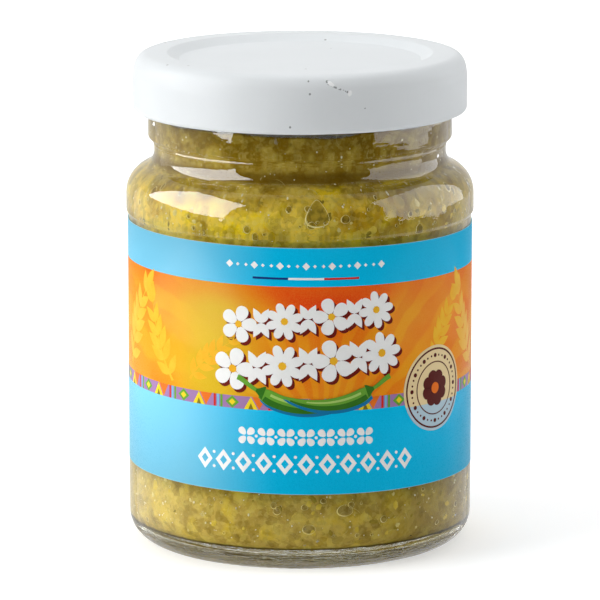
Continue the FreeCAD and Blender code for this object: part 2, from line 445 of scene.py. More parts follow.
def glass_material():
    """Clear glass that lets lamps through to what it holds, with uneven smoky streaks in its base."""
    s = Shader("flint_glass")
    place = s.place()
    waves = s.noise(place, 0.11)
    ripples = s.noise(s.stretched(place, 1.0, 1.0, 2.2), 0.42)
    base = s.fade(s.axes(place)[2], 3.4, 2.2)
    streaks = s.noise(s.stretched(place, 0.22, 0.22, 1.9), 0.9, 3.0, 0.6)
    relief = s.plus(s.plus(waves, s.times(ripples, 0.16)), s.times(streaks, base, 5.0))
    smoky = s.mix(s.fade(streaks, 0.42, 0.58), (0.68, 0.72, 0.52, 1.0), (1.0, 1.0, 0.94, 1.0))
    glass = s.surface(Base_Color=s.mix(base, (0.955, 0.985, 0.965, 1.0), smoky), Roughness=0.0,
                      IOR=1.52, Transmission_Weight=1.0, Normal=s.bump(relief, 1.0, 0.12 * MM))
    clear = s.node("BsdfTransparent", {"Color": (0.97, 0.985, 0.975, 1.0)})
    passed = s.larger(s.ray("Shadow"), s.ray("Diffuse"))
    return s.finish(s.node("MixShader", {0: passed, 1: glass, 2: clear}))


def lacquer_material():
    """White gloss lacquer with faint dust, and the chipped place on the cap's rounded edge."""
    s = Shader("white_lacquer")
    place = s.place()
    x, y, z = s.axes(place)
    top = CAP_TOP / MM

    # orange peel all over, and upright streaks on the skirt
    orange_peel = s.noise(place, 1.1)
    upright = s.node("CombineXYZ", {0: s.times(s.math("ARCTAN2", x, y), 26.0), 1: 0.0, 2: s.times(z, 0.05)})
    streaks = s.noise(upright, 1.3, 2.0, 0.6)
    skirt = s.fade(z, top - 2.2, top - 4.2)
    relief = s.plus(s.times(orange_peel, 0.02), s.times(streaks, skirt, 0.8))
    white = s.mix(s.noise(place, 0.05), tone(227, 231, 233), tone(233, 237, 239))
    colour = s.tinted(white, (120, 118, 112), s.fade(s.cells(place, 0.16), 0.045, 0.02), 0.55)

    # two flakes joined by a dotted scratch, and a few specks
    across = s.times(s.front_angle(x, y), CAP_RADIUS / MM)
    below = s.minus(top, z)
    ragged = s.times(s.minus(s.noise(place, 3.2, 3.0, 0.7), 0.5), 1.1)
    rounded = s.fade(s.from_axis(place), CAP_RADIUS / MM - 4.0, CAP_RADIUS / MM - 3.0)

    def marked(at, drop, wide, tall, slant, rough_edge):
        """1 inside a ragged ellipse outside the cap's flat top."""
        out = s.minus(across, at)
        down = s.plus(s.minus(below, drop), s.times(out, -slant))
        far = s.math("SQRT", s.plus(s.squared(out, wide), s.squared(down, tall)))
        far = s.plus(far, s.times(ragged, rough_edge))
        return s.times(s.fade(far, 1.0, 0.8), rounded)

    flake = marked(*FLAKES[0], 1.0)
    chip = s.larger(flake, marked(*FLAKES[1], 1.0))
    dots = s.fade(s.noise(place, 2.6, 1.0), 0.5, 0.56)
    metal = s.times(marked(*SCRATCH, 0.4), dots)
    for at, drop, size in SPECKS:
        metal = s.larger(metal, marked(at, drop, size, size, 0.0, 0.2))
    colour = s.tinted(colour, (96, 100, 100), metal, 0.75)
    colour = s.tinted(colour, (252, 254, 254), chip)

    # the first flake is tilted up, so that it catches the light
    lifted = s.shifted(s.bump(relief, 0.25, 0.1 * MM), s.scaled((-0.3, 0.0, 1.6), flake))
    normal = s.node("VectorMath", {0: lifted}, operation="NORMALIZE")
    rough = s.plus(0.27, s.times(s.noise(place, 0.3), 0.08))
    return s.finish(s.surface(Base_Color=colour, Roughness=rough, Normal=normal, IOR=1.2,
                              Specular_IOR_Level=0.3))


def paste_material():
    """Moist green chili paste: olive pulp with yellow flesh, pale and dark pieces and fine grains, with
    painted light and shade by the cap, on the shoulder, on both sides and at the lower edge.
    """
    s = Shader("chili_paste")
    place = s.place()
    side, back, height = s.axes(place)
    moved = s.warped(place, 0.55, 1.5)
    blotch = s.noise(moved, 0.14, 3.0, 0.6)
    pulp = s.mix(s.fade(blotch, 0.36, 0.64), tone(152, 122, 30), tone(194, 164, 68))

    # the tones of the jar's levels: pale below the label; yellow on the shoulder, partly the flesh and
    # partly painted light from above; dark by the cap, partly a darker pulp and partly painted shade of the
    # cap, painted lighter on the left where the lamp falls
    pulp = s.tinted(pulp, (203, 173, 87), s.fade(height, 17.0, 8.0), 0.72)
    above = s.fade(height, 64.0, 68.0)
    left = s.fade(side, -8.0, -24.0)
    pulp = s.tinted(pulp, (131, 100, 0), above, s.minus(0.8, s.times(left, 0.5)))
    calm = s.minus(1.0, s.times(above, 0.65))
    # painted light: the shoulder is painted brighter and yellower, as if lit from above
    shoulder_painted_light = s.times(s.fade(height, 52.0, 56.0), s.fade(height, 62.8, 60.2))
    flesh = s.mix(s.fade(blotch, 0.4, 0.6), tone(196, 152, 18), tone(252, 215, 70))
    pulp = s.mix(s.times(shoulder_painted_light, 0.78), pulp, flesh)

    # blots of yellow flesh, and lighter and darker clouds
    patch = s.noise(s.warped(place, 0.3, 3.0), 0.2)
    yellow = s.times(s.fade(patch, 0.48, 0.66), s.fade(height, 66.0, 61.0),
                     s.plus(0.3, s.times(s.fade(height, 30.0, 55.0), 0.6)))
    pulp = s.tinted(pulp, (238, 204, 14), yellow)
    cloud = s.noise(s.warped(place, 0.5, 1.2), 0.42, 1.0, 0.4)
    pulp = s.tinted(pulp, (220, 194, 88), s.fade(cloud, 0.52, 0.66), 0.36)
    pulp = s.tinted(pulp, (116, 92, 14), s.fade(cloud, 0.47, 0.34), 0.4)

    # chopped pieces, grains and fine pulp
    chunk = s.channels(s.cells(moved, 0.62, 1))
    pulp = s.tinted(pulp, (222, 198, 92), s.fade(chunk[0], 0.72, 0.86), calm, 0.34)
    pulp = s.tinted(pulp, (104, 80, 12), s.fade(chunk[1], 0.76, 0.9), calm, 0.32)
    grain = s.channels(s.cells(s.warped(place, 1.2, 0.7), 1.7, 1))
    pulp = s.tinted(pulp, (228, 208, 118), s.fade(grain[0], 0.55, 0.95), 0.2)
    pulp = s.tinted(pulp, (104, 84, 16), s.fade(grain[1], 0.6, 0.95), 0.2)
    fine = s.noise(place, 2.6, 3.0, 0.65)
    pulp = s.tinted(pulp, (228, 212, 136), s.fade(fine, 0.45, 0.8), 0.14)

    # painted shade inside the air bubbles: the pulp is painted darker there, since the mesh has no hollow
    # for them
    air = s.node("Attribute", output=2, attribute_name="air")
    depth = s.fade(s.noise(place, 1.4), 0.35, 0.65)
    bubble_shade_low = s.mix(depth, tone(120, 98, 46), tone(168, 146, 84))
    bubble_shade_high = s.mix(depth, tone(84, 66, 12), tone(150, 124, 40))
    inside = s.mix(s.fade(height, 20.0, 50.0), bubble_shade_low, bubble_shade_high)
    pulp = s.mix(s.times(air, 0.75), pulp, inside)

    # painted light and shade: a painted shade ring under the bead, the right side painted duller as if in
    # shade, the left side painted creamy as if lit, and painted shade on the lower edge
    neck = s.times(s.fade(height, 62.6, 64.2), s.fade(height, 67.0, 65.2))
    pulp = s.tinted(pulp, (98, 70, 0), neck, 0.8)
    pulp = s.tinted(pulp, (124, 102, 44), s.fade(side, 8.0, 20.0), s.fade(back, 4.0, -4.0), 0.45)
    pulp = s.tinted(pulp, (206, 184, 112), s.fade(side, -12.0, -27.0), s.fade(back, 12.0, 0.0), 0.15)
    under = s.times(s.fade(height, 4.1, 3.8), s.fade(s.from_axis(place), 22.0, 24.0))
    pulp = s.tinted(pulp, (60, 52, 24), under, 0.85)

    relief = s.plus(s.times(s.cells(moved, 0.9), -0.5), s.times(fine, 0.5))
    return s.finish(s.surface(Base_Color=pulp, Roughness=0.45, IOR=1.06, Specular_IOR_Level=0.1,
                              Normal=s.bump(relief, 0.5, 0.35 * MM), Subsurface_Weight=0.25,
                              Subsurface_Radius=(1.0, 0.7, 0.2), Subsurface_Scale=0.4 * MM))


def plain_material(name, colour, second, scale, roughness, bump_height, specular=0.05):
    """A material whose colour wavers between two tones, with a fine relief. scale is about how many
    waves go to a millimetre, and bump_height is in millimetres."""
    s = Shader(name)
    place = s.place()
    waver = s.noise(place, scale, 3.0, 0.6)
    mixed = s.mix(s.fade(waver, 0.3, 0.7), tone(*colour), tone(*second))
    bump = s.bump(s.noise(place, scale * 3, 3.0, 0.6), 0.4, bump_height * MM)
    rough = s.plus(roughness - 0.06, s.times(waver, 0.12))
    return s.finish(s.surface(Base_Color=mixed, Roughness=rough, Normal=bump,
                              Specular_IOR_Level=specular))


def print_surface(s, place, colour, roughness, specular):
    """The satin surface that the paper and its inks share."""
    bump = s.bump(s.noise(place, 1.6, 3.0), 0.12, 0.05 * MM)
    return s.finish(s.surface(Base_Color=colour, Roughness=roughness, Normal=bump,
                              Specular_IOR_Level=specular, Coat_Weight=0.05, Coat_Roughness=0.16))


def ink_material(name):
    """Ink on satin paper, with the faint grain of print. A single tone wavers to a slightly duller one."""
    s = Shader("ink_" + name)
    place = s.place()
    share = s.plus(s.times(s.noise(place, 5.0, 3.0, 0.7), 0.5), s.times(s.noise(place, 0.5), 0.5))
    first = INKS[name][0]
    second = INKS[name][-1] if len(INKS[name]) > 1 else [min(value * 0.94 + 12, 255) for value in first]
    mixed = s.mix(s.fade(share, 0.3, 0.7), tone(*first), tone(*second))
    return print_surface(s, place, mixed, 0.28, 0.04)


def label_material():
    """Satin paper printed in fields: blue, a warm band of sun rays, and blue, with a painted sheen that
    makes the blue paler left of the middle.
    """
    s = Shader("printed_paper")
    place = s.place()
    x, y, z = s.axes(place)
    height = s.plus(s.minus(z, LABEL_BOTTOM / MM), s.times(x, LABEL_SKEW))
    along = s.times(s.minus(s.front_angle(x, y), PRINT_TURN), LABEL_RADIUS / MM)
    grain = s.noise(place, 5.0, 3.0, 0.7)

    # the blue of both fields, with a painted sheen of the left lamp that makes it paler left of the middle
    blue = s.mix(s.fade(grain, 0.3, 0.7), tone(0, 188, 238), tone(4, 198, 246))
    blue = s.tinted(blue, (10, 202, 248), s.noise(place, 0.25), 0.15)
    blue = s.tinted(blue, (126, 208, 240), s.fade(along, -4.0, -24.0), s.fade(along, -62.0, -44.0))

    # the warm band: a low sun with bent rays, a yellow glow on its left and red heat at its top
    sun_along, sun_height, rays = 3.0, BAND_LOW - 6.0, 26.0
    out = s.minus(along, sun_along)
    bend = s.times(s.noise(place, 0.09), 0.35)
    ray_angle = s.plus(s.math("ARCTAN2", s.minus(height, sun_height), out), bend)
    ray = s.fade(s.math("SINE", s.times(ray_angle, rays)), -0.35, 0.35)
    band_share = s.math("DIVIDE", s.minus(height, BAND_LOW), BAND_HIGH - BAND_LOW)
    heat = s.times(band_share, band_share, s.bell(out, 13.0))
    warm = s.mix(s.fade(s.noise(place, 0.07), 0.35, 0.65), tone(238, 122, 18), tone(240, 150, 30))
    warm = s.tinted(warm, (252, 196, 30), ray, 0.25)
    warm = s.tinted(warm, (220, 188, 40), s.bell(s.plus(along, 16.0), 9.0), 0.85)
    warm = s.tinted(warm, (232, 50, 16), s.fade(heat, 0.12, 0.75))
    warm = s.tinted(warm, (244, 112, 22), s.fade(band_share, 0.75, 1.0), 0.5)
    warm = s.tinted(warm, (255, 220, 90), s.fade(grain, 0.35, 0.75), 0.1)
    inside = s.times(s.math("GREATER_THAN", height, BAND_LOW), s.math("LESS_THAN", height, BAND_HIGH))
    colour = s.mix(inside, blue, warm)

    # the cut edges of the paper
    tall = (LABEL_TOP - LABEL_BOTTOM) / MM
    edge = s.larger(s.fade(height, 0.12, 0.0), s.fade(height, tall - 0.11, tall - 0.01))
    colour = s.tinted(colour, (225, 240, 246), edge, 0.5)
    rough = s.plus(0.24, s.times(grain, 0.08))
    return print_surface(s, place, colour, rough, 0.02)


# Glass jar

def cavity_corners(grow=0.0):
    """The inside of the glass, from the floor's middle up to the rim, moved into the glass by grow."""
    bottom = CAVITY_FLOOR - FLOOR_SINK - grow
    shoulder = SHOULDER_HEIGHT + WALL * SHOULDER_SLOPE - WALL / cos(SHOULDER_ANGLE)
    neck = shoulder + (CAVITY_RADIUS - BORE_RADIUS) * SHOULDER_SLOPE
    return [
        (0, bottom, 0),
        (CAVITY_RADIUS + grow, bottom, INNER_ROUND + grow),
        (CAVITY_RADIUS + grow, shoulder, INNER_ROUND),
        (BORE_RADIUS + grow, neck, 2.9 * MM),
        (BORE_RADIUS + grow, JAR_TOP, RIM_ROUND),
    ]


def outer_corners():
    """The outside of the glass, from the rim down to the middle of the raised base."""
    recess_top = LABEL_TOP + RECESS_MARGIN
    recess_bottom = LABEL_BOTTOM - RECESS_MARGIN
    return [
        (FINISH_RADIUS, JAR_TOP, RIM_ROUND),
        # the bead, and the small ring under it
        (FINISH_RADIUS, BEAD_TOP, 0.2 * MM),
        (BEAD_RADIUS - 0.05 * MM, BEAD_TOP, 0.25 * MM),
        (BEAD_RADIUS, BEAD_BOTTOM, 1.0 * MM),
        (NECK_RADIUS, BEAD_BOTTOM, 0.4 * MM),
        (NECK_RADIUS, BEAD_BOTTOM - 0.55 * MM, 0.1 * MM),
        (NECK_RADIUS + 0.14 * MM, BEAD_BOTTOM - 0.8 * MM, 0.2 * MM),
        (NECK_RADIUS, BEAD_BOTTOM - 1.05 * MM, 0.1 * MM),
        # the neck, the shoulder and the recess for the label
        (NECK_RADIUS, NECK_START, 2.6 * MM),
        (BODY_RADIUS, SHOULDER_HEIGHT, 5.05 * MM),
        (BODY_RADIUS, recess_top + RECESS_RAMP, RECESS_RAMP),
        (RECESS_RADIUS, recess_top, RECESS_RAMP),
        (RECESS_RADIUS, recess_bottom + 2.4 * MM, RECESS_RAMP),
        (LOWER_RADIUS, recess_bottom + 1.6 * MM, RECESS_RAMP),
        # the heel, the bearing ring and the raised base
        (LOWER_RADIUS, HEEL_HEIGHT, 4.0 * MM),
        (HEEL_RADIUS, 0, 4.8 * MM),
        (BEARING_RADIUS, 0, 0.45 * MM),
        (BEARING_RADIUS - BASE_SLOPE, BASE_RISE, BASE_SLOPE),
        (0, BASE_RISE, 0),
    ]


def glass_form(angle, radius, height):
    """Adds the ridges of the finish and the stippled bearing ring to the plain turned glass."""
    if radius > FINISH_RADIUS - 0.05 * MM and height > CAP_BOTTOM:
        degrees = (angle * 180 / pi) % (360 / RIDGES)
        climb = max(degrees - 24.0, 0) / 50.0
        level = CAP_BOTTOM + 1.49 * MM + RIDGE_CLIMB * climb ** 1.3
        size = smooth_step(0, 7, degrees) * (1 - smooth_step(67, 74, degrees))
        rise = smooth_step(level - 0.3 * MM, level + 0.1 * MM, height)
        fall = 1 - smooth_step(level + 0.9 * MM, level + 2.6 * MM, height)
        radius += RIDGE_REACH * size * min(rise, fall)
    if height < 0.6 * MM and radius > BEARING_RADIUS - 0.4 * MM:
        ring = smooth_step(BEARING_RADIUS - 0.3 * MM, BEARING_RADIUS + 0.3 * MM, radius)
        ring *= 1 - smooth_step(BEARING_RADIUS + 3.6 * MM, BEARING_RADIUS + 4.4 * MM, radius)
        wave = 0.5 + 0.5 * cos(STIPPLES * angle + radius / MM * 1.1)
        height += STIPPLE_HEIGHT * ring * wave
    return radius, height


def glass_jar():
    """The jar as one closed glass body."""
    points = outline(cavity_corners(), longest=4.0 * MM) + outline(outer_corners())
    return revolved("glass_body", points, GLASS_SEGMENTS, glass_form, glass_material())


# Cap

def cap_outline():
    """The outside of the cap, from the panel's middle over the rounded edge to the end of its curl."""
    low = CAP_TOP - PANEL_SINK
    corners = [(0, low, 0), (PANEL_RADIUS, low, PANEL_ROUND),
               (PANEL_RADIUS + PANEL_SLOPE, CAP_TOP, PANEL_ROUND)]
    for i in range(4):
        angle = radians(30.0 * i)
        corners.append((CAP_RADIUS - CAP_EDGE_WIDTH * (1 - sin(angle)),
                        CAP_TOP - CAP_EDGE_DROP * (1 - cos(angle)), CAP_EDGE_DROP))
    curl = CAP_RADIUS - 2 * CURL
    curl_top = CAP_BOTTOM + 2 * CURL
    return corners + [(CAP_RADIUS, CAP_BOTTOM, CURL), (curl, CAP_BOTTOM, CURL),
                      (curl, curl_top, CURL), (CAP_RADIUS - 2 * TIN, curl_top, 0)]


def offset_path(points, distance):
    """The same path moved to one side by a distance."""
    shifted = []
    for i, point in enumerate(points):
        before = Vector(points[max(i - 1, 0)])
        after = Vector(points[min(i + 1, len(points) - 1)])
        along = (after - before).normalized()
        shifted.append((max(point[0] + along.y * distance, 0.0), point[1] - along.x * distance))
    return shifted


def cap_form(angle, radius, height):
    """Slight dents where the lugs are rolled in, and a faintly uneven skirt."""
    if radius > CAP_RADIUS - 3 * MM and height < CAP_TOP - 2.5 * MM:
        low = 1 - smooth_step(CAP_BOTTOM + 1.0 * MM, CAP_BOTTOM + 4.5 * MM, height)
        dent = smooth_step(0.955, 1.0, abs(cos(2 * (angle - radians(12.0)))))
        uneven = wobble(sin(angle) * 3, cos(angle) * 3, height / (30 * MM), 0.6)
        radius += low * (0.05 * MM * uneven - DENT * dent)
    return radius, height


def cap():
    """The lacquered cap, made of thin tin with its outside and inside."""
    outside = outline(cap_outline(), radians(9), 1.2 * MM)
    inside = offset_path(outside, TIN)
    inside[0] = (0.0, outside[0][1] - TIN)
    white = lacquer_material()
    # the inside: a dark golden brown, partly a golden lacquer and partly painted shade under the cap
    golden_and_painted_shade = plain_material("inner_lacquer_painted_shade", (120, 104, 62), (134, 118, 74), 0.4, 0.4, 0.02, 0.3)
    made = revolved("cap_shell", outside + inside[::-1], CAP_SEGMENTS, cap_form, white, golden_and_painted_shade)
    for face in made.data.polygons:
        x, y, z = face.center
        under = hypot(x, y) < CAP_RADIUS - 1.5 * CURL and face.normal.z < 0.5
        facing_in = face.normal.x * x + face.normal.y * y < 0 and z < CAP_TOP - 1.5 * MM
        if under or facing_in:
            face.material_index = 1
    return made


# Paste

def paste_top(x, y):
    """The height of the paste's uneven top."""
    out = hypot(x, y)
    long_wave = wobble(x, y, 0.0, 9 * MM)
    short_wave = wobble(x + 0.05, y, 0.0, 3 * MM)
    front = smooth_step(0.9, 0.98, -y / max(out, 1e-6)) * smooth_step(15 * MM, 22 * MM, out)
    dip = 0.45 * MM * front * (1.0 + 0.8 * short_wave)
    return PASTE_LEVEL + 0.3 * MM + 0.4 * MM * long_wave + 0.22 * MM * short_wave - dip


def paste_path():
    """The paste's side, from its floor's middle to its top edge, with long steps where it is hidden."""
    corners = cavity_corners(PASTE_IN_WALL)
    corners[-1] = (corners[-1][0], PASTE_LEVEL, 0)
    path = []
    for radius, height in outline(corners, radians(4), PASTE_STEP):
        behind_label = LABEL_BOTTOM + 2 * MM < height < LABEL_TOP - 2 * MM and radius > CAVITY_RADIUS
        below = radius < CAVITY_RADIUS - 3 * MM and height < CAVITY_FLOOR + 1 * MM
        step = HIDDEN_STEP if behind_label or below else 0.0
        if (not path or abs(height - path[-1][1]) >= step
                or (below and abs(radius - path[-1][0]) >= step)):
            path.append((radius, height))
    return path


def paste_point(radius, angle, height):
    """A place on the paste's side, with small hollows, which rises to the uneven top."""
    x, y, z = around(radius, angle, height)
    if height > CAVITY_FLOOR + 0.5 * MM:
        hollow = wobble(x, y, z, 1.5 * MM) + 0.5 * wobble(x, y, z, 0.7 * MM)
        radius -= HOLLOW_DEPTH * smooth_step(0.6, 0.95, hollow)
    share = smooth_step(PASTE_LEVEL - 5 * MM, PASTE_LEVEL, height)
    return around(radius, angle, height + share * (paste_top(x, y) - PASTE_LEVEL))


def in_bubble(angle, radius, height, bubbles):
    """1 inside an air bubble at the glass and 0 outside, with a soft edge."""
    inside = 0.0
    for middle, level, wide, tall, taper in bubbles:
        up = (height - level) / tall
        if abs(up) > 1:
            continue
        out = (angle - middle + pi) % (2 * pi) - pi
        across = out * radius / (wide * (1 - taper * up))
        away = across * across + up * up
        if away < 1.0:
            inside = max(inside, smooth_step(0.0, 0.35, 1 - away))
    return inside


def paste():
    """The filling: pressed flat on the glass, with hollows and an uneven top. Its air attribute
    says where the material paints the shade inside air bubbles."""
    path = paste_path()
    bubbles = bubble_places()
    angles = spins(PASTE_SEGMENTS)
    vertices = [(0, 0, path[0][1])]
    air = [0.0]
    for radius, height in path[1:]:
        for angle in angles:
            vertices.append(paste_point(radius, angle, height))
            air.append(in_bubble(angle, radius, height, bubbles) if radius > BORE_RADIUS else 0.0)
    for ring in range(1, PASTE_TOP_RINGS):
        share = ring / PASTE_TOP_RINGS
        grain = 0.18 * MM * smooth_step(0.0, 0.05, share)
        for angle in angles:
            x, y, _ = around(path[-1][0] * (1 - share), angle, 0)
            vertices.append((x, y, paste_top(x, y) + grain * wobble(x, y, 0.1, 0.9 * MM)))
    vertices.append((0, 0, paste_top(0, 0)))
    air += [0.0] * (len(vertices) - len(air))
    last_row = len(vertices) - 1 - PASTE_SEGMENTS
    faces = fan_faces(1, 0, PASTE_SEGMENTS) + fan_faces(last_row, len(vertices) - 1, PASTE_SEGMENTS)
    for row in range(1, last_row, PASTE_SEGMENTS):
        faces += band_faces(row, row + PASTE_SEGMENTS, PASTE_SEGMENTS)
    made = new_object("paste_core", vertices, faces, paste_material())
    made.data.attributes.new("air", "FLOAT", "POINT").data.foreach_set("value", air)
    return made


def bubble_places():
    """Air bubbles at the glass: the few large ones, and many small ones. Each is an angle, a height,
    a half width, a half height and how far it narrows upwards."""
    draw = random.Random(7)
    places = [
        (radians(5.9), 59.7 * MM, 1.75 * MM, 1.8 * MM, 0.42),
        (radians(3.1), 7.4 * MM, 1.05 * MM, 0.8 * MM, 0.0),
        (radians(15.6), 10.4 * MM, 1.3 * MM, 0.95 * MM, 0.1),
    ]
    for _ in range(SMALL_BUBBLES):
        angle = draw.uniform(-pi, pi)
        upper = draw.random() < 0.62
        height = draw.uniform(56.2, 61.5) * MM if upper else draw.uniform(5.2, 12.6) * MM
        size = 0.22 * MM + 0.42 * MM * draw.random() ** 2.2
        places.append((angle, height, size * draw.uniform(0.85, 1.2), size, draw.uniform(-0.3, 0.3)))
    return places


WALL_POINTS = outline(cavity_corners())


def wall_radius(height):
    """The radius of the inside of the glass at a height above the rounding of its floor."""
    for (radius, level), (next_radius, next_level) in zip(WALL_POINTS, WALL_POINTS[1:]):
        if level <= height <= next_level and next_level > level:
            return radius + (next_radius - radius) * (height - level) / (next_level - level)
    return WALL_POINTS[-1][0]


def visible_spot(draw, top=71.0):
    """A random angle and height where paste shows through the glass above or below the label."""
    angle = draw.uniform(-pi, pi)
    if draw.random() < 0.45:
        return angle, draw.uniform(5.0, 13.4) * MM
    return angle, draw.uniform(55.0, top) * MM


def on_wall(angle, height, across, up, sink):
    """A point beside a spot on the inner wall, moved across, up and into the glass."""
    radius = wall_radius(height + up) + sink
    return Vector(around(radius, angle + across / radius, height + up))


def lumps(name, material, count, seed, size_low, size_high, thick, stretch, points, top):
    """Small irregular pieces of food lying against the glass, as one mesh.

    Their sizes run from size_low to size_high and they are thick at most, all in millimetres. A piece
    is up to stretch times as long as wide, has a number of corner points and lies lower than top.
    """
    draw = random.Random(seed)
    vertices, faces = [], []
    for _ in range(count):
        angle, height = visible_spot(draw, top)
        size = (size_low + (size_high - size_low) * draw.random() ** 1.8) * MM
        turn = draw.uniform(0, pi)
        long_side = size * draw.uniform(1.0, stretch)
        radii = [1 + draw.uniform(-0.25, 0.25) for _ in range(points)]
        start = len(vertices)
        for share, sink in ((1.0, -0.08 * MM), (0.72, thick * MM)):
            for spin, radius in zip(spins(points), radii):
                a = long_side * share * radius * cos(spin)
                b = size * share * radius * sin(spin)
                vertices.append(on_wall(angle, height, a * cos(turn) - b * sin(turn),
                                        a * sin(turn) + b * cos(turn), sink))
        vertices.append(on_wall(angle, height, 0.0, 0.0, 1.12 * thick * MM))
        faces += band_faces(start, start + points, points)
        faces += fan_faces(start + points, start + 2 * points, points)
        faces.append(tuple(start + k for k in reversed(range(points))))
    return new_object(name, vertices, faces, material)


def bubble_rims(name, material, seed):
    """Painted highlights on the edges of the air bubbles, thicker on one side, as one mesh of thin closed
    rings.
    """
    draw = random.Random(seed)
    vertices, faces = [], []
    steps = 28
    for angle, height, wide, tall, taper in bubble_places():
        # the side on which the painted highlight is widest
        bright = draw.uniform(2.6, 4.6)
        full = 0.05 * MM + 0.075 * wide
        start = len(vertices)
        for k, spin in enumerate(spins(steps)):
            half = full * (0.25 + 0.75 * max(cos(spin - bright), 0.0) ** 1.5)
            for out, sink in ((-half, 0.03 * MM), (half, 0.03 * MM), (0.0, 0.15 * MM)):
                across = (wide + out) * cos(spin) * (1 - taper * sin(spin))
                vertices.append(on_wall(angle, height, across, (tall + out) * sin(spin), sink))
            faces += band_faces(start + 3 * k, start + 3 * ((k + 1) % steps), 3)
    return new_object(name, vertices, faces, material)


def fibres(name, material, count, seed):
    """Thin pale fibres of chili pulp against the glass, as one mesh of three-sided tubes."""
    draw = random.Random(seed)
    vertices, faces = [], []
    steps = 8
    for _ in range(count):
        angle, height = visible_spot(draw)
        heading = draw.uniform(0, 2 * pi)
        curl = draw.uniform(-1.6, 1.6)
        length = draw.uniform(0.8, 2.6) * MM
        width = draw.uniform(0.035, 0.075) * MM
        across, up = 0.0, 0.0
        start = len(vertices)
        for k in range(steps + 1):
            size = width * (0.35 + 0.65 * sin(pi * k / steps))
            side = heading + pi / 2
            for out, sink in ((-size, -0.03 * MM), (size, -0.03 * MM), (0, 0.09 * MM + size * 0.3)):
                vertices.append(on_wall(angle, height, across + out * cos(side),
                                        up + out * sin(side), sink))
            heading += curl / steps
            across += length / steps * cos(heading)
            up += length / steps * sin(heading)
        end = start + 3 * steps
        for row in range(start, end, 3):
            faces += band_faces(row, row + 3, 3)
        faces += [(start, start + 2, start + 1), (end, end + 1, end + 2)]
    return new_object(name, vertices, faces, material)


def paste_bits():
    """What shows in the paste at the glass: flecks, partly pale specks and partly painted glints; seeds,
    skin and flesh; painted highlights on the bubbles' rims; and fibres.
    """
    # pale flecks: partly pale specks of seed and partly painted glints
    pale = plain_material("pale_seed_and_glint", (226, 214, 156), (244, 236, 204), 1.2, 0.35, 0.05)
    seed = plain_material("soft_seed", (206, 186, 104), (224, 206, 132), 1.2, 0.35, 0.05)
    skin = plain_material("green_skin", (136, 116, 34), (160, 138, 48), 0.8, 0.35, 0.08)
    gold = plain_material("yellow_flesh", (208, 178, 62), (222, 194, 80), 0.8, 0.35, 0.08)
    # painted highlights for the bubbles' rims
    rim = plain_material("bubble_rim_painted_highlight", (246, 226, 130), (255, 244, 186), 1.0, 0.2, 0.02, 0.3)
    thread = plain_material("pale_fibre", (204, 186, 104), (222, 206, 134), 1.0, 0.4, 0.04)
    return [
        lumps("paste_flecks_and_glints", pale, 540, 3, 0.07, 0.22, 0.17, 1.3, 8, 71.0),
        lumps("paste_seeds", seed, 50, 5, 0.25, 0.6, 0.10, 1.4, 14, 61.5),
        lumps("paste_skins", skin, 70, 11, 0.2, 0.6, 0.07, 2.2, 12, 71.0),
        lumps("paste_flesh", gold, 90, 13, 0.3, 1.0, 0.07, 1.7, 12, 60.5),
        bubble_rims("paste_bubble_highlights", rim, 19),
        fibres("paste_fibres", thread, 110, 17),
    ]


# Label

def on_label(angle, rise, lift):
    """A place on the label, which is stuck on slightly askew: at an angle, up from its lower edge."""
    x, y, _ = around(LABEL_RADIUS + lift, angle, 0)
    return (x, y, LABEL_BOTTOM + rise - LABEL_SKEW * x)


def label():
    """The paper band, with its two edges and the seam at the back."""
    half = pi - 0.5 * LABEL_SEAM / LABEL_RADIUS
    tall = LABEL_TOP - LABEL_BOTTOM
    vertices, faces = [], []
    for k in range(LABEL_COLUMNS + 1):
        angle = half * (2 * k / LABEL_COLUMNS - 1)
        for rise, lift in ((0.0, -LABEL_THICK), (0.0, 0.0), (tall, 0.0), (tall, -LABEL_THICK)):
            vertices.append(on_label(angle, rise, lift))
    end = 4 * LABEL_COLUMNS
    for row in range(0, end, 4):
        faces += band_faces(row, row + 4, 4)
    faces += [(0, 3, 2, 1), (end, end + 1, end + 2, end + 3)]
    made = new_object("label_band", vertices, faces, label_material(), smooth=False)
    for face in made.data.polygons:
        face.use_smooth = abs(face.normal.z) < 0.5
    return made


# Shapes of the print. An outline is a list of points, and a shape is a list of an outline and its
# holes.

def box(left, low, right, high):
    """An upright rectangle as an outline."""
    return [(left, low), (right, low), (right, high), (left, high)]


def diamond(x, y, wide, tall):
    """A diamond of a half width and a half height as an outline."""
    return [(x + wide, y), (x, y + tall), (x - wide, y), (x, y - tall)]


def disc(x, y, radius, count=48):
    """A circle as an outline."""
    return [(x + radius * cos(spin), y + radius * sin(spin)) for spin in spins(count)]


def ring(x, y, outer, inner, count):
    """A circle with a round hole as a shape."""
    return [disc(x, y, outer, count), disc(x, y, inner, count)[::-1]]


def turned(points, angle, x=0.0, y=0.0, scale=1.0):
    """Points turned by an angle in degrees, scaled, and moved."""
    c, s = cos(radians(angle)) * scale, sin(radians(angle)) * scale
    return [(x + a * c - b * s, y + a * s + b * c) for a, b in points]


def moved(shapes, x, y):
    """The same shapes, moved."""
    return [[[(a + x, b + y) for a, b in loop] for loop in shape] for shape in shapes]


def stroke(centres, widths):
    """The outline of a line of varying width along its centres."""
    left, right = [], []
    for i, (x, y) in enumerate(centres):
        before = Vector(centres[max(i - 1, 0)])
        after = Vector(centres[min(i + 1, len(centres) - 1)])
        along = (after - before).normalized()
        half = widths[i] / 2
        left.append((x - along.y * half, y + along.x * half))
        right.append((x + along.y * half, y - along.x * half))
    return left + right[::-1]


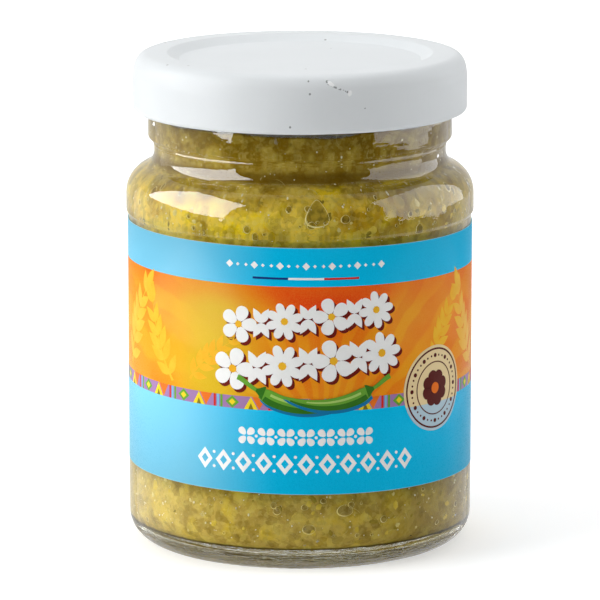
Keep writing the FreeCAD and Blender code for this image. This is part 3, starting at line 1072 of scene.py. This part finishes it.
def curve_points(start, handle_a, handle_b, end, count):
    """Points on a Bezier curve."""
    points = []
    for k in range(count + 1):
        t = k / count
        u = 1 - t
        points.append(tuple(u ** 3 * start[i] + 3 * u * u * t * handle_a[i] + 3 * u * t * t * handle_b[i]
                            + t ** 3 * end[i] for i in range(2)))
    return points


def leaf(length, width, count=14):
    """A pointed leaf from the origin along +X, as an outline."""
    upper = [(length * k / count, width / 2 * sin(pi * (k / count) ** 0.8)) for k in range(count + 1)]
    lower = [(x, -y) for x, y in upper[1:-1]]
    return upper + lower[::-1]


def sprig(x, y, turn, scale, pairs=6):
    """A curved stem with pairs of leaves and a leaf at its tip, as shapes."""
    steps = 20
    stem = curve_points((0, 0), (4, 1.2), (9, 1.6), (15, 0.2), steps)
    parts = [stroke(stem, [0.5 - 0.02 * k for k in range(steps + 1)])]
    for k in range(pairs):
        share = (k + 0.8) / pairs
        size = 1.0 - 0.45 * abs(share - 0.4)
        for side in (-1, 1):
            parts.append(turned(leaf(4.6 * size, 1.9 * size), side * (48 - 22 * share),
                                *stem[int(share * steps)]))
    parts.append(turned(leaf(4.0, 1.6), -6, *stem[-1]))
    return [[turned(part, turn, x, y, scale)] for part in parts]


def blossom(x, y, size, turn=0.0, petals=5, width=0.36):
    """The petals of a simple flower, as shapes."""
    petal = [(0.62 + 0.46 * cos(spin), width * sin(spin) * (1 + 0.25 * cos(spin)))
             for spin in spins(22)]
    return [[turned(petal, turn + 360.0 * k / petals, x, y, size)] for k in range(petals)]


def garland():
    """Two rows of flowers with leaves between them, which rise to the right, and the flowers' hearts."""
    slope = 0.105
    whites, hearts = [], []
    for row_height, spacing, size in ((29.3, 7.7, 2.9), (21.9, 8.4, 3.3)):
        for k in range(4):
            x = (k - 1.5) * spacing + 0.3
            y = row_height + slope * x
            petals, width = (5, 0.36) if k % 2 == 0 else (8, 0.24)
            whites += blossom(x, y, size, 18.0 * k, petals, width)
            hearts.append([disc(x, y, 0.2 * size)])
            if k < 3:
                for heading in (62, 118, 242, 298):
                    whites.append([turned(leaf(0.95 * size, 0.46 * size), heading,
                                          x + spacing / 2, y + slope * spacing / 2)])
    return whites, hearts


def chilli(x, y, turn, flip, scale):
    """The shapes of one chilli: its body, shade, light, crown and stem."""
    steps = 24
    spine = curve_points((0, 0), (4, -1.9), (10, -2.1), (15.5, 1.0), steps)
    widths = [2.5 * (1 - (k / steps) ** 2.2) ** 0.8 * min(1.0, 0.72 + k / 9) + 0.05
              for k in range(steps + 1)]

    def beside(shift, share, first, last):
        """A stroke beside the spine, along a part of it."""
        centres = [(a, b + shift * width) for (a, b), width in zip(spine, widths)]
        return stroke(centres[first:last], [share * width for width in widths[first:last]])

    crown = stroke(curve_points((0.5, 0.0), (0.1, 0.1), (-0.4, 0.2), (-0.9, 0.3), 6),
                   [2.3, 2.2, 1.9, 1.5, 1.1, 0.8, 0.6])
    stem = stroke(curve_points((-0.7, 0.3), (-2.0, 0.6), (-3.0, 1.6), (-4.3, 1.9), 10),
                  [0.6 + 0.03 * k for k in range(11)])
    parts = (stroke(spine, widths), beside(-0.3, 0.42, 1, -2), beside(0.2, 0.17, 3, -6), crown, stem)
    return [[turned([(a, b * flip) for a, b in part], turn, x, y, scale)] for part in parts]


# Print

def cut_flat(outlines, step=1.0):
    """Triangles that fill an outline less its holes, cut along upright lines so that they can bend."""
    loops = [[Vector((x, y, 0.0)) for x, y in loop] for loop in outlines]
    flat = [point for loop in loops for point in loop]
    grid = bmesh.new()
    corners = [grid.verts.new(point) for point in flat]
    for a, b, c in tessellate_polygon(loops):
        if len({a, b, c}) == 3:
            grid.faces.new((corners[a], corners[b], corners[c]))
    low = min(point.x for point in flat)
    high = max(point.x for point in flat)
    line = (int(low / step) - 1) * step
    while line < high:
        line += step
        if low < line < high:
            bmesh.ops.bisect_plane(grid, geom=grid.verts[:] + grid.edges[:] + grid.faces[:],
                                   plane_co=(line, 0, 0), plane_no=(1, 0, 0), dist=1e-3)
    bmesh.ops.recalc_face_normals(grid, faces=grid.faces)
    grid.verts.index_update()
    points = [(v.co.x, v.co.y) for v in grid.verts]
    faces = [[v.index for v in f.verts] for f in grid.faces]
    edges = [[v.index for v in e.verts] for e in grid.edges if len(e.link_faces) == 1]
    grid.free()
    return points, faces, edges


def printed(name, fields):
    """One mesh of thin ink shapes. A field is an ink, a layer number and a list of shapes."""
    inks = list(dict.fromkeys(ink for ink, layer, shapes in fields))
    vertices, faces, chosen = [], [], []
    for ink, layer, shapes in fields:
        for outlines in shapes:
            points, flat, edges = cut_flat(outlines)
            start = len(vertices)
            upper = start + len(points)
            for lift in (-PRINT_SINK, LAYER * layer):
                for along, height in points:
                    vertices.append(on_label(along * MM / LABEL_RADIUS + PRINT_TURN, height * MM, lift))
            for face in flat:
                faces.append([upper + k for k in face])
                faces.append([start + k for k in reversed(face)])
            for a, b in edges:
                faces.append([start + a, start + b, upper + b, upper + a])
            chosen += [inks.index(ink)] * (2 * len(flat) + len(edges))
    materials = [bpy.data.materials["ink_" + ink] for ink in inks]
    made = new_object(name, vertices, faces, *materials, smooth=False)
    made.data.polygons.foreach_set("material_index", chosen)
    return made


def print_line():
    """On the upper blue field, a thin line in three colours and a row of dots and diamonds over it."""
    length = 17.6
    fields = []
    for k, ink in enumerate(("navy", "white", "red")):
        left = length * (k / 3 - 0.5)
        fields.append((ink, 1, [[box(left, 35.85, left + length / 3, 36.2)]]))
    dots = []
    for k in range(-9, 10):
        half = 0.63 if k % 3 == 0 else 0.3
        dots.append([diamond(k * 1.42, 38.1, half, half)])
    return printed("print_line", fields + [("white", 1, dots)])


def print_leaves():
    """Sprigs of leaves on the warm band, tone on tone."""
    leaves = []
    for x, y, turn, scale in ((-39, 17.5, 62, 1.05), (-24.5, 17.0, 112, 0.95), (-20.5, 18.0, 40, 0.72),
                              (39, 17.5, 116, 1.05), (24, 20.0, 60, 0.8), (52, 17.5, 70, 0.95),
                              (-53, 17.5, 104, 0.95), (66, 17.5, 112, 0.95), (-67, 17.5, 68, 0.95),
                              (80, 18.0, 75, 0.85), (-80, 18.0, 105, 0.85)):
        leaves += sprig(x, y, turn, scale)
    return printed("print_leaves", [("soft_yellow", 1, leaves)])


def print_garland():
    """The white garland with a dark red shadow."""
    whites, hearts = garland()
    return printed("print_garland", [("dark_red", 1, moved(whites, 0.45, -0.5)), ("white", 4, whites),
                                     ("soft_yellow", 5, hearts)])


def print_border():
    """A strip of triangles, bars and diamonds below the warm band."""
    low, high = STRIP_LOW, BAND_LOW
    middle = (low + high) / 2
    first, last, tiles = -86.9, 84.9, 18
    unit = (last - first) / tiles
    layers = {"lilac": 1, "orange": 2, "yellow": 3, "green": 2, "red": 2, "light_blue": 2, "olive": 4}
    shapes = {ink: [] for ink in layers}
    for k in range(tiles):
        left = first + k * unit
        shapes["lilac"].append([box(left, low, left + unit, high)])
        shapes["yellow"].append([[(left + 0.2, low), (left + 2.6, low), (left + 1.4, high)]])
        shapes["olive"].append([[(left + 0.95, low), (left + 1.85, low), (left + 1.4, middle)]])
        shapes["orange"].append([[(left + 1.6, high), (left + 2.8, low), (left + 4.0, high)]])
        for j, ink in enumerate(("red", "light_blue", "green")):
            bar = left + 4.3 + 0.62 * j
            shapes[ink].append([box(bar, low, bar + 0.4, high)])
        shapes["green"].append([diamond(left + 7.7, middle, 1.2, middle - low)])
        shapes["yellow"].append([diamond(left + 7.7, middle, 0.6, middle - low - 0.5)])
    return printed("print_border", [(ink, layer, shapes[ink]) for ink, layer in layers.items()])


def print_chillies():
    """Two crossed chillies, each with a blue shadow."""
    fields = []
    for x, y, turn, flip, scale, layer in ((-7.4, 16.9, -7, 1, 1.0, 6), (10.6, 17.1, 186, -1, 0.94, 10)):
        body, shade, light, crown, stem = chilli(x, y, turn, flip, scale)
        fields += [("deep_blue", layer - 1, moved([body], 0.25, -0.55)), ("green", layer, [body, stem]),
                   ("dark_green", layer + 1, [shade, crown]), ("light_green", layer + 2, [light])]
    return printed("print_chillies", fields)


def print_medallion():
    """A round medallion with rings, dots and a plain flower."""
    x, y = MEDALLION
    plate = disc(x, y, 7.2, 72)
    lower = [point for point in plate if point[1] < STRIP_LOW]
    dots = []
    for k, angle in enumerate(spins(36)):
        size = 0.18 if k % 3 else 0.36
        dots.append([disc(x + 5.5 * cos(angle), y + 5.5 * sin(angle), size, 12)])
    return printed("print_medallion", [
        ("cream", 6, [[plate]]),
        ("pale_blue", 7, [[lower]]),
        ("brown", 8, [ring(x, y, 6.75, 6.45, 72)] + dots + [ring(x, y, 4.5, 4.3, 60)]),
        ("brown", 8, blossom(x, y, 2.9, 18, 8)),
        ("orange", 9, [[disc(x, y, 0.95, 30)]]),
    ])


def print_rows():
    """Two rows of white ornament on the lower blue field: rosettes, and diamonds with dots."""
    rows = []
    for k in range(-3, 4):
        centre = k * 3.3
        rows += blossom(centre, 9.6, 1.6, 45, 4)
        if k < 3:
            rows.append([disc(centre + 1.65, 9.6, 0.26, 16)])
    for k in range(-5, 6):
        centre = k * 3.5
        rows.append([diamond(centre, 5.1, 1.45, 1.8), diamond(centre, 5.1, 0.65, 0.8)[::-1]])
        if k < 5:
            rows.append([disc(centre + 1.75, 6.3, 0.26, 16)])
            rows.append([disc(centre + 1.75, 3.9, 0.26, 16)])
    return printed("print_rows", [("white", 1, rows)])


def print_pieces():
    """All of the print, as a few meshes of wrapped ink shapes."""
    for name in INKS:
        ink_material(name)
    return [print_line(), print_leaves(), print_garland(), print_border(), print_chillies(),
            print_medallion(), print_rows()]


# Setting: floor, world, lamps, cards that only reflections see, and the camera

def stage_plane(name, size, centre, facing, material):
    """A flat rectangle of the setting that faces a direction."""
    mesh = bpy.data.meshes.new(name)
    w, h = size[0] / 2, size[1] / 2
    mesh.from_pydata([(-w, -h, 0), (w, -h, 0), (w, h, 0), (-w, h, 0)], [], [(0, 1, 2, 3)])
    mesh.materials.append(material)
    thing = put(name, mesh)
    thing.location = centre
    thing.rotation_euler = Vector(facing).to_track_quat("Z", "Y").to_euler()
    return thing


def glow_material(name, strength, fall):
    """Light of a strength, which falls to nothing across a width in metres if fall gives its two ends."""
    s = Shader(name)
    if fall:
        strength = s.times(s.fade(s.axes(s.place(1.0))[0], *fall), strength)
    return s.finish(s.node("Emission", {"Color": (0.98, 0.985, 1.0, 1.0), "Strength": strength}))


def card(name, azimuth, distance, size, height, strength, roll=0.0, fall=None):
    """A bright card that stands beside the jar and shows in reflections only."""
    centre = around(distance, radians(azimuth), height)
    thing = stage_plane(name, size, centre, (-centre[0], -centre[1], 0),
                        glow_material(name, strength, fall))
    thing.rotation_euler.rotate_axis("Z", radians(roll))
    thing.visible_camera = False
    thing.visible_diffuse = False
    thing.visible_shadow = False
    thing.visible_volume_scatter = False


def lamp(name, azimuth, distance, height, size, energy):
    """A soft lamp that is aimed at the jar's middle, or level if it is lower, and isn't seen itself."""
    light = bpy.data.lights.new(name, "AREA")
    light.shape = "RECTANGLE"
    light.size, light.size_y = size
    light.energy = energy
    thing = put(name, light)
    thing.location = around(distance, radians(azimuth), height)
    aim = Vector((0, 0, min(height, 0.04))) - thing.location
    thing.rotation_euler = aim.to_track_quat("-Z", "Y").to_euler()
    thing.visible_camera = False
    thing.visible_glossy = False
    thing.visible_transmission = False


def floor():
    """A pale floor that glows for the camera, up to white far off. The glow that shows through the
    glass is weak close to the jar, where the jar's own shade lies."""
    s = Shader("floor_white")
    place = s.place()
    pale = s.mix(s.noise(place, 0.02), (0.90, 0.90, 0.90, 1), (0.93, 0.93, 0.93, 1))
    matte = s.node("BsdfDiffuse", {"Color": pale})
    away = s.length(place)
    beyond = s.plus(0.15, s.times(s.fade(away, 22.0, 42.0), 0.85))
    seen = s.larger(s.ray("Camera"), s.times(s.ray("Transmission"), beyond))
    rising = s.plus(FLOOR_LIFT, s.times(s.fade(away, 80.0, 500.0), 0.6))
    lift = s.node("Emission", {"Color": WHITE, "Strength": s.times(seen, rising)})
    made = stage_plane("floor", (8.0, 8.0), (0, 0, 0), (0, 0, 1),
                       s.finish(s.node("AddShader", {0: matte, 1: lift})))
    made.visible_glossy = False


def world():
    """White for the camera, an even dim light for matte surfaces, and for reflections and glass a
    room that is dark in front and bright behind."""
    s = Shader("studio", bpy.data.worlds)
    direction = s.node("TexCoord")
    room = s.fade(s.axes(direction)[1], -0.35, 0.15, 0.016, 0.8)
    matte = s.node("Mix", {0: s.ray("Diffuse"), 2: room, 3: 0.2})
    seen = s.node("Mix", {0: s.ray("Camera"), 2: matte, 3: 1.0})
    back = s.node("Background", {"Color": WHITE, "Strength": seen})
    bpy.context.scene.world = s.finish(back, "OutputWorld")


def lights():
    """A key lamp from the left, a weaker fill from the right, one above and a low one, and the cards:
    each with an azimuth in degrees, a distance and a height or size in metres, and a strength."""
    lamp("key_lamp", -72, 0.75, 0.50, (0.6, 0.6), 4.8)
    lamp("fill_lamp", 88, 0.85, 0.40, (0.6, 0.6), 2.05)
    lamp("top_lamp", 170, 0.15, 0.9, (0.7, 0.7), 3.4)
    lamp("bounce_lamp", -76, 0.09, 0.012, (0.12, 0.02), 0.024)
    card("card_left", -80, 0.6, (0.84, 0.74), 0.43, 9.3, 13.0)
    card("card_left_low", -95, 0.62, (1.3, 0.6), -0.2, 1.25, 13.0, (-0.5, 0.35))
    card("card_right", 95, 0.6, (0.98, 0.80), 0.36, 3.0)
    card("card_right_low", 105, 0.62, (1.3, 0.5), -0.26, 1.1, 0.0, (0.5, -0.35))


def camera():
    """A long lens, a little above the jar, placed so that the jar's rings curve as in the photo."""
    data = bpy.data.cameras.new("camera")
    data.lens = 284.7
    data.sensor_width = 36.0
    data.clip_start = 0.05
    data.clip_end = 20.0
    eye = put("camera", data)
    eye.location = (0, -0.7854, 0.19655)
    eye.rotation_euler = (radians(78.756), 0, 0)
    bpy.context.scene.camera = eye


# The jar

jar = glass_jar()
lid = cap()
filling = paste()
band = label()
prints = print_pieces()
bits = paste_bits()

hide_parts("glass_jar")
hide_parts("cap")
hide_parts("paste")
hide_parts("label")
for piece in [jar, lid, filling, band] + prints + bits:
    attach(piece, "root")

floor()
world()
lights()
camera()
bpy.context.scene.view_settings.view_transform = "Standard"
